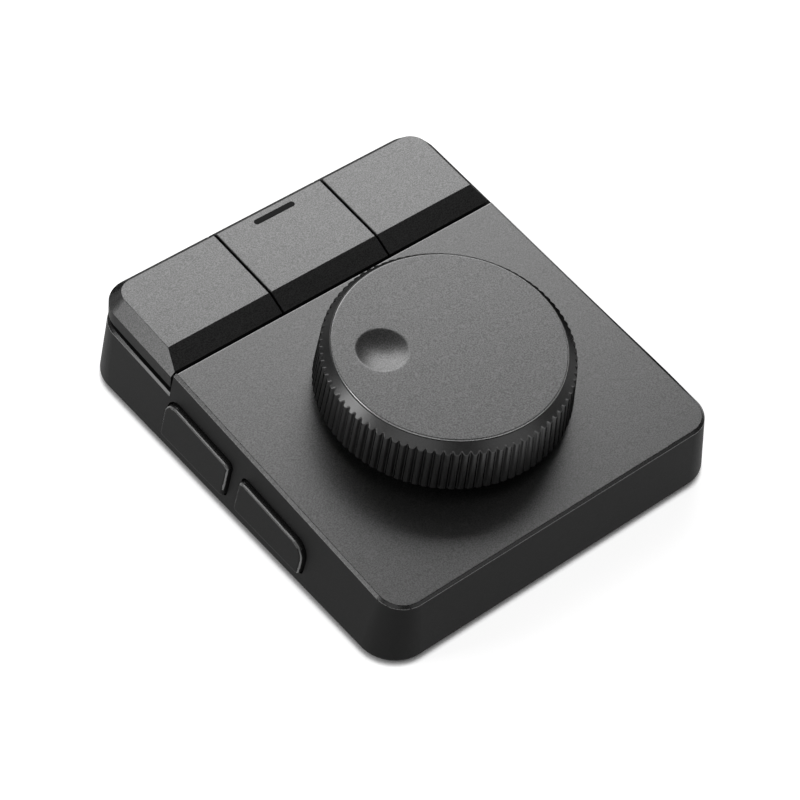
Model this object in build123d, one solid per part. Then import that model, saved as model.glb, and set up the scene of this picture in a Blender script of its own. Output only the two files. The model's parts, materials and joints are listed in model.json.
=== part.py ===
from build123d import *
import os
from math import cos, radians, sin, tan

# Desk keypad with a large turning dial, a row of three keys and two side buttons.
# Lengths are millimetres, angles degrees.
# Deck frame: x right, y to the back, z along the face plate's normal, zero on the plate's top.
# Floor frame: z up from the surface that the feet stand on, origin under the middle of the base.

# Case
CASE_WIDTH = 69.46
CASE_LENGTH = 80.77
CASE_CORNER_RADIUS = 5.0
DECK_HEIGHT = 15.54
DECK_TILT = 3.44
SIDE_DRAFT = 8.0
FRONT_DRAFT = 8.0
BACK_DRAFT = 3.15
WALL = 1.8
ROOF = 1.6
BAY_ROOF = 1.0
RIM = 0.48
RIM_BEVEL_RUN = 0.45
RIM_BEVEL_DROP = 0.4
RIM_EDGE_RADIUS = 0.2
BASE_EDGE_RADIUS = 0.8
LOW_RIM_DROP = 4.85
POST_RADIUS = 3.0
POST_INSET = 4.6
BOARD_POST_RADIUS = 2.6

# Face plate
PLATE_THICKNESS = 1.2
PLATE_EDGE_RADIUS = 0.35

# Base plate, feet and their screws
BASE_THICKNESS = 1.8
FOOT_RADIUS = 5.0
FOOT_THICKNESS = 1.6
FOOT_PROUD = 0.8
FOOT_INSET = 13.0
BASE_SCREW_RADIUS = 1.2
BASE_SCREW_LENGTH = 6.5
BASE_SCREW_HEAD_RADIUS = 2.2
BASE_SCREW_HEAD_HEIGHT = 1.1

# Keys
KEY_COUNT = 3
KEY_MIDDLE_WIDTH = 23.13
KEY_RISE = 1.585
KEY_DEPTH = 21.51
KEY_FRONT_RUN = 3.82
KEY_END_RUN = 2.08
KEY_END_DROP = 2.48
KEY_OVERHANG = 0.29
KEY_CORNER_RADIUS = 5.3
KEY_GAP = 0.45
KEY_UNDER_GAP = 0.7
KEY_WALL = 1.2
KEY_CEILING = 0.6
KEY_EDGE_RADIUS = 0.15
KEY_TRAVEL = 0.5
KEY_STEM_RADIUS = 2.4
KEY_STEM_SETBACK = 8.5
KEY_LEG_INSET = 3.8
KEY_LEG_WIDTH = 3.0
KEY_LEG_THICKNESS = 1.5
KEY_HOOK = 0.6
KEY_HOOK_HEIGHT = 0.8

# Indicator in the middle key
LENS_LENGTH = 8.6
LENS_WIDTH = 1.07
LENS_BACK_MARGIN = 3.7
LENS_DEPTH = 3.2
LED_LENGTH = 3.2
LED_WIDTH = 1.6
LED_HEIGHT = 0.9

# Dial
DIAL_OFFSET = 1.195
DIAL_TOP = 12.4
DIAL_BOTTOM = 2.0
DIAL_RADIUS_BOTTOM = 22.04
DIAL_RADIUS_TOP = 21.36
DIAL_CHAMFER_HEIGHT = 1.54
DIAL_BOTTOM_RADIUS = 0.4
DIAL_WALL = 3.0
DIAL_WEB = 1.9
CAP_RADIUS = 19.65
CAP_THICKNESS = 1.2
DIMPLE_X = -9.94
DIMPLE_Y = 5.43
DIMPLE_RADIUS = 4.41
DIMPLE_DEPTH = 1.2
DIMPLE_EDGE_RADIUS = 0.25
DIMPLE_CUP_WALL = 0.9
DIMPLE_CUP_DEPTH = 1.1
GROOVE_COUNT = 90
GROOVE_RADIUS = 0.32
GROOVE_DEPTH = 0.4
HUB_RADIUS = 5.2
HUB_FLANGE_RADIUS = 8.4
HUB_FLANGE_HEIGHT = 1.5
HUB_GAP = 0.5
HUB_SCREW_COUNT = 3
HUB_SCREW_RADIUS = 0.8
HUB_SCREW_LENGTH = 2.6
HUB_SCREW_HEAD_RADIUS = 1.4
HUB_SCREW_HEAD_HEIGHT = 0.9
SET_SCREW_RADIUS = 1.25
DIAL_TRAVEL = 0.5
GUARD_HEIGHT = 5.0
GUARD_WALL = 1.6
GUARD_FLOOR = 0.8
GUARD_GAP = 0.6

# Rotary encoder
ENCODER_WIDTH = 12.0
ENCODER_FLOOR = 0.5
BUSH_RADIUS = 3.5
BUSH_MARGIN = 0.3
WASHER_RADIUS = 6.0
WASHER_THICKNESS = 0.5
NUT_ACROSS_FLATS = 10.0
NUT_HEIGHT = 1.6
SHAFT_RADIUS = 3.0
SHAFT_FLAT = 0.6
SHAFT_TOP_GAP = 0.6
SHAFT_COLLAR = 0.7
SHAFT_COLLAR_HEIGHT = 0.9
BUSH_SHOULDER = 0.7
PUSHER_WIDTH = 5.2
PUSHER_HEIGHT = 0.9
PUSHER_PIN_RADIUS = 1.4

# Circuit board and what stands on it
BOARD_TOP_DROP = 7.65
BOARD_THICKNESS = 1.2
BOARD_SIDE_GAP = 2.7
BOARD_BACK_GAP = 1.2
BOARD_MARGIN = 1.5
BOARD_ENCODER_MARGIN = 4.4
BOARD_POST_GAP = 1.1
BOARD_POST_MARGIN = 5.0
BOARD_SCREW_RADIUS = 0.95
BOARD_SCREW_LENGTH = 5.0
BOARD_SCREW_HEAD_RADIUS = 1.9
BOARD_SCREW_HEAD_HEIGHT = 1.0
SWITCH_WIDTH = 6.0
SWITCH_HEIGHT = 1.4
SWITCH_PLUNGER_RADIUS = 1.6
SWITCH_PLUNGER_DEPTH = 0.7
SWITCH_PLUNGER_RISE = 1.0
CHIP_WIDTH = 7.0
CHIP_HEIGHT = 0.9
CHIP_X = 14.0
CHIP_Y = 4.0

# Side buttons and their switches
SIDE_BACK_MARGIN = 0.32
SIDE_SPACING = 3.0
SIDE_LENGTH = 17.34
SIDE_TOP_DROP = 5.12
SIDE_BASE_MARGIN = 2.97
SIDE_RAISE = 0.95
SIDE_GAP = 0.25
SIDE_OUTER_RADIUS = 3.0
SIDE_INNER_RADIUS = 1.2
SIDE_LOWER_RADIUS = 0.8
SIDE_EDGE_RADIUS = 0.6
SIDE_TRAVEL = 0.6
SIDE_FLANGE = 0.8
SIDE_FLANGE_SETBACK = 3.2
SIDE_STEM_LENGTH = 3.0
SIDE_STEM_HEIGHT = 1.6
SIDE_SWITCH_LENGTH = 6.0
SIDE_SWITCH_DEPTH = 3.5
SIDE_SWITCH_HEIGHT = 3.3
SIDE_SWITCH_SETBACK = 0.3
SIDE_PLUNGER_LENGTH = 2.4
SIDE_PLUNGER_HEIGHT = 1.4
SIDE_PLUNGER_REACH = 1.2
SIDE_PLUNGER_DEPTH = 1.0

# Power and data inlet
SOCKET_WIDTH = 8.94
SOCKET_HEIGHT = 3.26
SOCKET_LENGTH = 7.2
SOCKET_RECESS = 0.3
SOCKET_WALL = 0.3
SOCKET_BACK_WALL = 1.4
SOCKET_GAP = 0.25
TONGUE_WIDTH = 6.7
TONGUE_THICKNESS = 0.7
TONGUE_LENGTH = 4.4

# Clearances
FIT = 0.05
GUIDE_GAP = 0.15
STEM_GAP = 0.3
OVERRUN = 4.0

# Levels and places worked out from the sizes above
SIN = sin(radians(DECK_TILT))
COS = cos(radians(DECK_TILT))
SIDE_SLOPE = tan(radians(SIDE_DRAFT))
FRONT_SLOPE = tan(radians(FRONT_DRAFT))
BACK_SLOPE = tan(radians(BACK_DRAFT))
BACK_DEPTH = (CASE_LENGTH / 2 * SIN + DECK_HEIGHT) / (COS - BACK_SLOPE * SIN)
BACK_FOOT_Y = (CASE_LENGTH / 2 + BACK_SLOPE * BACK_DEPTH) * COS + BACK_DEPTH * SIN
FRONT_DEPTH = (DECK_HEIGHT - CASE_LENGTH / 2 * SIN) / (COS + FRONT_SLOPE * SIN)
FRONT_FOOT_Y = -(CASE_LENGTH / 2 + FRONT_SLOPE * FRONT_DEPTH) * COS + FRONT_DEPTH * SIN
BASE_LENGTH = BACK_FOOT_Y - FRONT_FOOT_Y
BLOCK_DEPTH = BACK_DEPTH + OVERRUN
DECK = Location((0, -(BACK_FOOT_Y + FRONT_FOOT_Y) / 2, FOOT_PROUD + DECK_HEIGHT), (DECK_TILT, 0, 0))
FLOOR = DECK.inverse()
BASE_TOP = FOOT_PROUD + BASE_THICKNESS
ROOF_TOP = -PLATE_THICKNESS
ROOF_UNDER = ROOF_TOP - ROOF
LOW_RIM = -LOW_RIM_DROP
BAY_UNDER = LOW_RIM - BAY_ROOF
KEY_BACK = CASE_LENGTH / 2 + KEY_OVERHANG
KEY_HALF_WIDTH = CASE_WIDTH / 2 + KEY_OVERHANG
KEY_FRONT = KEY_BACK - KEY_DEPTH
BAY_FRONT = KEY_FRONT - KEY_GAP
KEY_SKIRT = LOW_RIM_DROP - KEY_TRAVEL - KEY_UNDER_GAP
KEY_END_FOOT = KEY_RISE - KEY_END_DROP
KEY_STEM_Y = KEY_FRONT + KEY_STEM_SETBACK
LENS_Y = KEY_BACK - LENS_BACK_MARGIN
DIAL_Y = (KEY_FRONT - CASE_LENGTH / 2) / 2 + DIAL_OFFSET
BOARD_TOP = -BOARD_TOP_DROP
BOARD_UNDER = BOARD_TOP - BOARD_THICKNESS
SWITCH_TOP = BOARD_TOP + SWITCH_HEIGHT
PLUNGER_TOP = SWITCH_TOP + SWITCH_PLUNGER_RISE
BOARD_HALF_WIDTH = CASE_WIDTH / 2 - WALL - BOARD_SIDE_GAP
BOARD_FRONT = DIAL_Y - ENCODER_WIDTH / 2 - BOARD_ENCODER_MARGIN
BOARD_SHOULDER = CASE_LENGTH / 2 - WALL - POST_INSET - POST_RADIUS - BOARD_MARGIN
BOARD_BACK = CASE_LENGTH / 2 - WALL - BOARD_BACK_GAP
TAIL_HALF_WIDTH = CASE_WIDTH / 2 - WALL - POST_INSET - POST_RADIUS - BOARD_MARGIN
NUT_BOTTOM = GUARD_FLOOR + WASHER_THICKNESS
NUT_TOP = NUT_BOTTOM + NUT_HEIGHT
BUSH_TOP = NUT_TOP + BUSH_MARGIN
BUSH_SHOULDER_Z = ROOF_UNDER - BUSH_SHOULDER
ENCODER_ROOM_RADIUS = SHAFT_RADIUS + SHAFT_COLLAR + STEM_GAP
ENCODER_ROOM_LOW = BOARD_TOP + ENCODER_FLOOR
COLLAR_TOP = BUSH_SHOULDER_Z - FIT
SHAFT_BOTTOM = COLLAR_TOP - SHAFT_COLLAR_HEIGHT
PUSHER_LOW = SHAFT_BOTTOM - PUSHER_HEIGHT
PUSHER_PIN_LOW = ENCODER_ROOM_LOW + DIAL_TRAVEL + STEM_GAP
HUB_BOTTOM = BUSH_TOP + DIAL_TRAVEL + HUB_GAP
CAP_SEAT = DIAL_TOP - CAP_THICKNESS
WEB_UNDER = CAP_SEAT - DIAL_WEB
FLANGE_UNDER = WEB_UNDER - HUB_FLANGE_HEIGHT
SHAFT_TOP = WEB_UNDER - SHAFT_TOP_GAP
DIAL_SHOULDER = DIAL_TOP - DIAL_CHAMFER_HEIGHT
DIAL_BORE = DIAL_RADIUS_TOP - DIAL_WALL
GUARD_RADIUS = DIAL_BORE - GUARD_GAP
DIMPLE_CUP_RADIUS = DIMPLE_RADIUS + DIMPLE_CUP_WALL
CUP_BOTTOM = CAP_SEAT - DIMPLE_CUP_DEPTH
DIAL_AXIS = Pos(0, DIAL_Y, 0)
SIDE_MIDDLE_Y = BAY_FRONT - SIDE_BACK_MARGIN - SIDE_LENGTH - SIDE_SPACING / 2
SIDE_SWITCH_X = -BOARD_HALF_WIDTH + SIDE_SWITCH_SETBACK
BOARD_POST_X = -SIDE_SWITCH_X - SIDE_SWITCH_DEPTH - BOARD_POST_GAP - BOARD_POST_RADIUS
SIDE_SWITCH_Z = BOARD_TOP + SIDE_SWITCH_HEIGHT / 2
SIDE_TIP_X = SIDE_SWITCH_X - SIDE_PLUNGER_REACH
SOCKET_Z = BOARD_UNDER - SOCKET_HEIGHT / 2
SOCKET_MOUTH_Y = CASE_LENGTH / 2 - BACK_SLOPE * SOCKET_Z - SOCKET_RECESS


def box(x0, x1, y0, y1, z0, z1):
    """Block between two corners."""
    middle = Pos((x0 + x1) / 2, (y0 + y1) / 2, (z0 + z1) / 2)
    return middle * Box(x1 - x0, y1 - y0, z1 - z0)


def rod(radius, z0, z1, x=0, y=0):
    """Round bar along z."""
    return Pos(x, y, (z0 + z1) / 2) * Cylinder(radius, z1 - z0)


def floor_level(y, height):
    """Deck-frame z of the point at y that lies height over the case's lower edge."""
    return (height - DECK_HEIGHT - y * SIN) / COS


def case_block(inset):
    """Solid inside the drafted case walls, which are moved in by inset, from the deck to past the base."""
    sections = []
    for depth in (0, BLOCK_DEPTH):
        half_width = CASE_WIDTH / 2 - inset + depth * SIDE_SLOPE
        front = -CASE_LENGTH / 2 + inset - depth * FRONT_SLOPE
        back = CASE_LENGTH / 2 - inset + depth * BACK_SLOPE
        corner = CASE_CORNER_RADIUS - inset + depth * SIDE_SLOPE
        outline = RectangleRounded(2 * half_width, back - front, corner)
        sections.append(Pos(0, (front + back) / 2, -depth) * outline)
    return loft(sections, ruled=True)


def floor_slab(low, high):
    """Wide slab between two heights over the floor."""
    return FLOOR * box(-CASE_WIDTH, CASE_WIDTH, -CASE_LENGTH, CASE_LENGTH, low, high)


def hollow(inset, lift):
    """Room inside the case, with walls moved in by inset and both ceilings raised by lift."""
    web = BAY_FRONT - ROOF + lift
    front = box(-CASE_WIDTH, CASE_WIDTH, -CASE_LENGTH, web, -CASE_LENGTH, ROOF_UNDER + lift)
    back = box(-CASE_WIDTH, CASE_WIDTH, -CASE_LENGTH, CASE_LENGTH, -CASE_LENGTH, BAY_UNDER + lift)
    return case_block(inset) & (front + back)


def post_places():
    """Floor-frame places of the four posts that take the base screws."""
    x = CASE_WIDTH / 2 - WALL - POST_INSET
    y = BASE_LENGTH / 2 - WALL - POST_INSET
    return [(-x, -y), (x, -y), (-x, y), (x, y)]


def board_post_places():
    """Deck-frame places of the four posts that the circuit board hangs on."""
    front = BOARD_FRONT + BOARD_POST_MARGIN
    back = BAY_FRONT - ROOF - BOARD_POST_RADIUS
    return [(-BOARD_POST_X, front), (BOARD_POST_X, front), (-BOARD_POST_X, back), (BOARD_POST_X, back)]


def key_limits():
    """Left and right side of each key, from the left."""
    cuts = [-KEY_MIDDLE_WIDTH / 2, KEY_MIDDLE_WIDTH / 2]
    starts = [-KEY_HALF_WIDTH] + [cut + KEY_GAP / 2 for cut in cuts]
    ends = [cut - KEY_GAP / 2 for cut in cuts] + [KEY_HALF_WIDTH]
    return list(zip(starts, ends))


def key_stem_places():
    """Middle of each key in x, where its stem stands."""
    return [(start + end) / 2 for start, end in key_limits()]


def key_leg_places(index):
    """Two guide legs of a key in x, near its ends."""
    start, end = key_limits()[index]
    return [start + KEY_LEG_INSET, end - KEY_LEG_INSET]


def key_row_outline(inset):
    """Outline of the whole key row, drawn in by inset, long in front, with rounded back corners."""
    half_width = KEY_HALF_WIDTH - inset
    front = KEY_FRONT - KEY_FRONT_RUN
    back = KEY_BACK - inset
    outline = Pos(0, (front + back) / 2) * Rectangle(2 * half_width, back - front)
    return fillet(outline.vertices().sort_by(Axis.Y)[-2:], KEY_CORNER_RADIUS - inset)


def plate_outline(clear, back):
    """Outline of the face plate's seat, drawn in by clear, with rounded front corners."""
    half_width = CASE_WIDTH / 2 - RIM - clear
    front = -CASE_LENGTH / 2 + RIM + clear
    outline = Pos(0, (front + back) / 2) * Rectangle(2 * half_width, back - front)
    return fillet(outline.vertices().sort_by(Axis.Y)[:2], CASE_CORNER_RADIUS - RIM - clear)


def side_spans():
    """Front and back end of each side button, the front button first."""
    inner = SIDE_SPACING / 2
    outer = inner + SIDE_LENGTH
    return [(SIDE_MIDDLE_Y - outer, SIDE_MIDDLE_Y - inner), (SIDE_MIDDLE_Y + inner, SIDE_MIDDLE_Y + outer)]


def side_column(span, grow, setback, end):
    """Side button's outline, moved out by grow and shortened by setback, drawn along x up to end."""
    front = span[0] + setback - grow
    back = span[1] - setback + grow
    top = -SIDE_TOP_DROP + grow
    points = [
        (front, floor_level(front, SIDE_BASE_MARGIN) - grow),
        (back, floor_level(back, SIDE_BASE_MARGIN) - grow),
        (back, top),
        (front, top),
    ]
    top_radii = [SIDE_OUTER_RADIUS, SIDE_INNER_RADIUS]
    if span[1] < SIDE_MIDDLE_Y:
        top_radii.reverse()
    radii = [SIDE_LOWER_RADIUS, SIDE_LOWER_RADIUS] + top_radii
    outline = make_face(FilletPolyline(*points, radius=radii, close=True))
    start = -CASE_WIDTH
    return extrude(Plane.YZ.offset(start) * outline, end - start)


def side_middle(span):
    """Middle of a side button in y."""
    return (span[0] + span[1]) / 2


def socket_cut(grow, start, length):
    """Inlet's rounded section, moved out by grow, from y = start towards the front."""
    section = SlotOverall(SOCKET_WIDTH + 2 * grow, SOCKET_HEIGHT + 2 * grow)
    return extrude(Plane.XZ.offset(-start) * (Pos(0, SOCKET_Z) * section), length)


def bevel_rim(shell, land, edges):
    """Case with a bevel round a flat land, softened where the bevel meets the wall."""
    level = land.center().Z
    shell = chamfer(edges, RIM_BEVEL_RUN, RIM_BEVEL_DROP, reference=land)
    below = shell.edges().filter_by_position(Axis.Z, level - RIM_BEVEL_DROP - FIT, level - RIM_BEVEL_DROP + FIT)
    return fillet(below, RIM_EDGE_RADIUS)


def body_shell():
    """Moulded case: walls, rim, two ceilings, posts and all openings."""
    shell = case_block(0) - floor_slab(-CASE_LENGTH, FOOT_PROUD)
    shell -= box(-CASE_WIDTH, CASE_WIDTH, BAY_FRONT, CASE_LENGTH, LOW_RIM, OVERRUN)
    top_land = shell.faces().filter_by(Axis.Z).sort_by(Axis.Z)[-1]
    shell = bevel_rim(shell, top_land, top_land.edges().sort_by(Axis.Y)[:-1])
    low_land = shell.faces().filter_by(Axis.Z).sort_by(Axis.Z)[0]
    shell = bevel_rim(shell, low_land, low_land.edges().sort_by(Axis.Y)[1:])
    shell = fillet(shell.faces().sort_by(Axis.Z)[0].edges(), BASE_EDGE_RADIUS)
    shell -= hollow(WALL, 0)
    shell -= Pos(0, 0, ROOF_TOP) * extrude(plate_outline(0, BAY_FRONT + OVERRUN), OVERRUN)
    filler = hollow(WALL / 2, BAY_ROOF / 2) - floor_slab(-CASE_LENGTH, BASE_TOP)
    for x, y in post_places():
        shell += FLOOR * rod(POST_RADIUS, BASE_TOP, CASE_LENGTH, x, y) & filler
        pilot = rod(BASE_SCREW_RADIUS + FIT, 0, FOOT_PROUD + BASE_SCREW_LENGTH + FIT, x, y)
        shell -= FLOOR * pilot
    for x, y in board_post_places():
        shell += rod(BOARD_POST_RADIUS, BOARD_TOP, ROOF_UNDER, x, y)
        shell -= rod(BOARD_SCREW_RADIUS + FIT, BOARD_TOP, BOARD_UNDER + BOARD_SCREW_LENGTH + FIT, x, y)
    shell -= rod(BUSH_RADIUS + GUIDE_GAP, ROOF_UNDER, ROOF_TOP, 0, DIAL_Y)
    for index, x in enumerate(key_stem_places()):
        shell -= rod(KEY_STEM_RADIUS + STEM_GAP, BAY_UNDER, LOW_RIM, x, KEY_STEM_Y)
        for leg in key_leg_places(index):
            half_width = KEY_LEG_WIDTH / 2 + GUIDE_GAP
            half_depth = KEY_LEG_THICKNESS / 2 + GUIDE_GAP
            slot = (leg - half_width, leg + half_width, KEY_STEM_Y - half_depth, KEY_STEM_Y + half_depth)
            shell -= box(*slot, BAY_UNDER, LOW_RIM)
    window = Pos(0, LENS_Y, BAY_UNDER) * SlotOverall(LENS_LENGTH, LED_WIDTH)
    shell -= extrude(window, BAY_ROOF)
    inner_face = case_block(WALL + FIT + SIDE_FLANGE + SIDE_TRAVEL + SIDE_GAP)
    for span in side_spans():
        shell -= side_column(span, SIDE_GAP, 0, 0) - inner_face
    shell -= socket_cut(SOCKET_GAP, SOCKET_MOUTH_Y + OVERRUN, OVERRUN + SOCKET_LENGTH)
    return shell


def face_plate():
    """Metal plate that lies flush in the rim, with the bush's hole."""
    plate = extrude(plate_outline(FIT, BAY_FRONT), -PLATE_THICKNESS)
    back_edge = plate.faces().sort_by(Axis.Z)[-1].edges().sort_by(Axis.Y)[-1]
    plate = fillet(back_edge, PLATE_EDGE_RADIUS)
    return plate - rod(BUSH_RADIUS + GUIDE_GAP, -PLATE_THICKNESS, 0, 0, DIAL_Y)


def foot_places():
    """Floor-frame places of the four feet."""
    x = CASE_WIDTH / 2 - FOOT_INSET
    y = BASE_LENGTH / 2 - FOOT_INSET
    return [(-x, -y), (x, -y), (-x, y), (x, y)]


def base_plate():
    """Bottom cover inside the walls, with recesses for the feet and the screw heads."""
    plate = case_block(WALL + GUIDE_GAP) & floor_slab(FOOT_PROUD, BASE_TOP)
    for x, y in foot_places():
        plate -= FLOOR * rod(FOOT_RADIUS + FIT, 0, FOOT_THICKNESS, x, y)
    for x, y in post_places():
        plate -= FLOOR * rod(BASE_SCREW_HEAD_RADIUS + FIT, 0, FOOT_PROUD + BASE_SCREW_HEAD_HEIGHT, x, y)
        plate -= FLOOR * rod(BASE_SCREW_RADIUS + FIT, 0, BASE_TOP, x, y)
    return plate


def feet():
    """Four round rubber feet, let into the base plate."""
    return [FLOOR * rod(FOOT_RADIUS, 0, FOOT_THICKNESS, x, y) for x, y in foot_places()]


def base_screws():
    """Four screws that hold the base plate to the case's posts."""
    shoulder = FOOT_PROUD + BASE_SCREW_HEAD_HEIGHT
    screws = []
    for x, y in post_places():
        head = rod(BASE_SCREW_HEAD_RADIUS, FOOT_PROUD, shoulder, x, y)
        shank = rod(BASE_SCREW_RADIUS, shoulder, FOOT_PROUD + BASE_SCREW_LENGTH, x, y)
        screws.append(FLOOR * (head + shank))
    return screws


def main_board():
    """Circuit board parallel to the deck, narrower behind to pass the back posts."""
    wide = box(-BOARD_HALF_WIDTH, BOARD_HALF_WIDTH, BOARD_FRONT, BOARD_SHOULDER, BOARD_UNDER, BOARD_TOP)
    tail = box(-TAIL_HALF_WIDTH, TAIL_HALF_WIDTH, BOARD_FRONT, BOARD_BACK, BOARD_UNDER, BOARD_TOP)
    board = wide + tail
    for x, y in board_post_places():
        board -= rod(BOARD_SCREW_RADIUS + GUIDE_GAP, BOARD_UNDER, BOARD_TOP, x, y)
    return board


def board_screws():
    """Four screws that hold the board up against its posts."""
    screws = []
    for x, y in board_post_places():
        head = rod(BOARD_SCREW_HEAD_RADIUS, BOARD_UNDER - BOARD_SCREW_HEAD_HEIGHT, BOARD_UNDER, x, y)
        shank = rod(BOARD_SCREW_RADIUS, BOARD_UNDER, BOARD_UNDER + BOARD_SCREW_LENGTH, x, y)
        screws.append(head + shank)
    return screws


def encoder_housing():
    """Encoder body between board and ceiling, with the bush that passes the face plate."""
    half = ENCODER_WIDTH / 2
    housing = box(-half, half, -half, half, BOARD_TOP, ROOF_UNDER)
    housing += rod(BUSH_RADIUS, ROOF_UNDER, BUSH_TOP)
    housing -= rod(SHAFT_RADIUS + FIT, BUSH_SHOULDER_Z, BUSH_TOP)
    housing -= rod(ENCODER_ROOM_RADIUS, ENCODER_ROOM_LOW, BUSH_SHOULDER_Z)
    return DIAL_AXIS * housing


def encoder_washer():
    """Flat washer between the nut and the guard's floor."""
    washer = rod(WASHER_RADIUS, GUARD_FLOOR, NUT_BOTTOM) - rod(BUSH_RADIUS + FIT, GUARD_FLOOR, NUT_BOTTOM)
    return DIAL_AXIS * washer


def encoder_nut():
    """Six-sided nut on the bush, which clamps the encoder to the deck."""
    hexagon = RegularPolygon(NUT_ACROSS_FLATS / 2, 6, major_radius=False)
    nut = Pos(0, 0, NUT_BOTTOM) * extrude(hexagon, NUT_HEIGHT)
    return DIAL_AXIS * (nut - rod(BUSH_RADIUS + FIT, NUT_BOTTOM, NUT_TOP))


def flatted(radius, z0, z1, grow):
    """Round bar with one flat towards +x, moved out by grow."""
    flat = SHAFT_RADIUS - SHAFT_FLAT + grow
    reach = radius + OVERRUN
    return rod(radius + grow, z0, z1) - box(flat, reach, -reach, reach, z0, z1)


def encoder_shaft():
    """Shaft with a flat for the hub and a collar that keeps it in the bush."""
    shaft = rod(SHAFT_RADIUS, COLLAR_TOP, HUB_BOTTOM)
    shaft += flatted(SHAFT_RADIUS, HUB_BOTTOM, SHAFT_TOP, 0)
    shaft += rod(SHAFT_RADIUS + SHAFT_COLLAR, SHAFT_BOTTOM, COLLAR_TOP)
    return DIAL_AXIS * shaft


def push_plunger():
    """Square slider under the shaft that works the encoder's push switch."""
    half = PUSHER_WIDTH / 2
    slider = box(-half, half, -half, half, PUSHER_LOW, SHAFT_BOTTOM)
    return DIAL_AXIS * (slider + rod(PUSHER_PIN_RADIUS, PUSHER_PIN_LOW, PUSHER_LOW))


def dial_guard():
    """Shallow cup inside the dial, clamped by the nut, which closes the gap over the face plate."""
    guard = rod(GUARD_RADIUS, 0, GUARD_HEIGHT) - rod(GUARD_RADIUS - GUARD_WALL, GUARD_FLOOR, GUARD_HEIGHT)
    return DIAL_AXIS * (guard - rod(BUSH_RADIUS + GUIDE_GAP, 0, GUARD_FLOOR))


def dial_grooves():
    """Grip grooves along the dial's tapered side, one short bar each."""
    height = DIAL_SHOULDER - DIAL_BOTTOM
    run = DIAL_RADIUS_BOTTOM - DIAL_RADIUS_TOP
    slant = Vector(height, 0, run).get_angle(Vector(1, 0, 0))
    radius = (DIAL_RADIUS_BOTTOM + DIAL_RADIUS_TOP) / 2 + GROOVE_RADIUS - GROOVE_DEPTH
    bar = Rot(0, -slant, 0) * Cylinder(GROOVE_RADIUS, height + OVERRUN)
    bar = Pos(radius, 0, (DIAL_SHOULDER + DIAL_BOTTOM) / 2) * bar
    return [Rot(0, 0, 360 * i / GROOVE_COUNT) * bar for i in range(GROOVE_COUNT)]


def dial_ring():
    """Knurled metal dial, open below, with a seat for the cap and a pocket for the dimple's cup."""
    seat_radius = CAP_RADIUS + FIT
    profile = Polyline(
        (0, CAP_SEAT),
        (seat_radius, CAP_SEAT),
        (seat_radius, DIAL_TOP),
        (DIAL_RADIUS_TOP, DIAL_SHOULDER),
        (DIAL_RADIUS_BOTTOM, DIAL_BOTTOM),
        (DIAL_BORE, DIAL_BOTTOM),
        (DIAL_BORE, WEB_UNDER),
        (0, WEB_UNDER),
        close=True,
    )
    face = make_face(profile)
    face = fillet(face.vertices().sort_by(Axis.X)[-1], DIAL_BOTTOM_RADIUS)
    ring = revolve(Plane.XZ * face, Axis.Z)
    ring -= dial_grooves()
    ring -= rod(DIMPLE_CUP_RADIUS + FIT, CUP_BOTTOM - FIT, CAP_SEAT, DIMPLE_X, DIMPLE_Y)
    for x, y in hub_screw_places():
        ring -= rod(HUB_SCREW_RADIUS + FIT, WEB_UNDER, FLANGE_UNDER + HUB_SCREW_LENGTH + FIT, x, y)
    return DIAL_AXIS * ring


def dial_cap():
    """Round top disc with a finger dimple and the cup that backs it."""
    cap = rod(CAP_RADIUS, CAP_SEAT, DIAL_TOP)
    cap += rod(DIMPLE_CUP_RADIUS, CUP_BOTTOM, CAP_SEAT, DIMPLE_X, DIMPLE_Y)
    ball_radius = (DIMPLE_RADIUS ** 2 + DIMPLE_DEPTH ** 2) / (2 * DIMPLE_DEPTH)
    cap -= Pos(DIMPLE_X, DIMPLE_Y, DIAL_TOP - DIMPLE_DEPTH + ball_radius) * Sphere(ball_radius)
    rims = cap.faces().sort_by(Axis.Z)[-1].inner_wires().edges()
    return DIAL_AXIS * fillet(rims, DIMPLE_EDGE_RADIUS)


def hub_screw_places():
    """Places of the hub's screws round the dial axis, turned clear of the dimple."""
    radius = (HUB_RADIUS + HUB_FLANGE_RADIUS) / 2
    start = Vector(DIMPLE_X, DIMPLE_Y).rotate(Axis.Z, 180 / HUB_SCREW_COUNT).normalized() * radius
    turns = [start.rotate(Axis.Z, 360 * i / HUB_SCREW_COUNT) for i in range(HUB_SCREW_COUNT)]
    return [(turn.X, turn.Y) for turn in turns]


def dial_hub():
    """Flanged hub that joins the dial to the flatted shaft."""
    hub = rod(HUB_RADIUS, HUB_BOTTOM, WEB_UNDER) + rod(HUB_FLANGE_RADIUS, FLANGE_UNDER, WEB_UNDER)
    hub -= flatted(SHAFT_RADIUS, HUB_BOTTOM, WEB_UNDER, FIT)
    for x, y in hub_screw_places():
        hub -= rod(HUB_SCREW_RADIUS + FIT, FLANGE_UNDER, WEB_UNDER, x, y)
    hub -= set_screw_bar(FIT, HUB_RADIUS + OVERRUN)
    return DIAL_AXIS * hub


def set_screw_bar(grow, end):
    """Round bar along x, from the shaft's flat out to end."""
    start = SHAFT_RADIUS - SHAFT_FLAT + FIT
    z = (HUB_BOTTOM + FLANGE_UNDER) / 2
    return Pos(0, 0, z) * extrude(Plane.YZ.offset(start) * Circle(SET_SCREW_RADIUS + grow), end - start)


def dial_set_screw():
    """Headless screw that presses on the shaft's flat."""
    return DIAL_AXIS * set_screw_bar(0, HUB_RADIUS)


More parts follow.
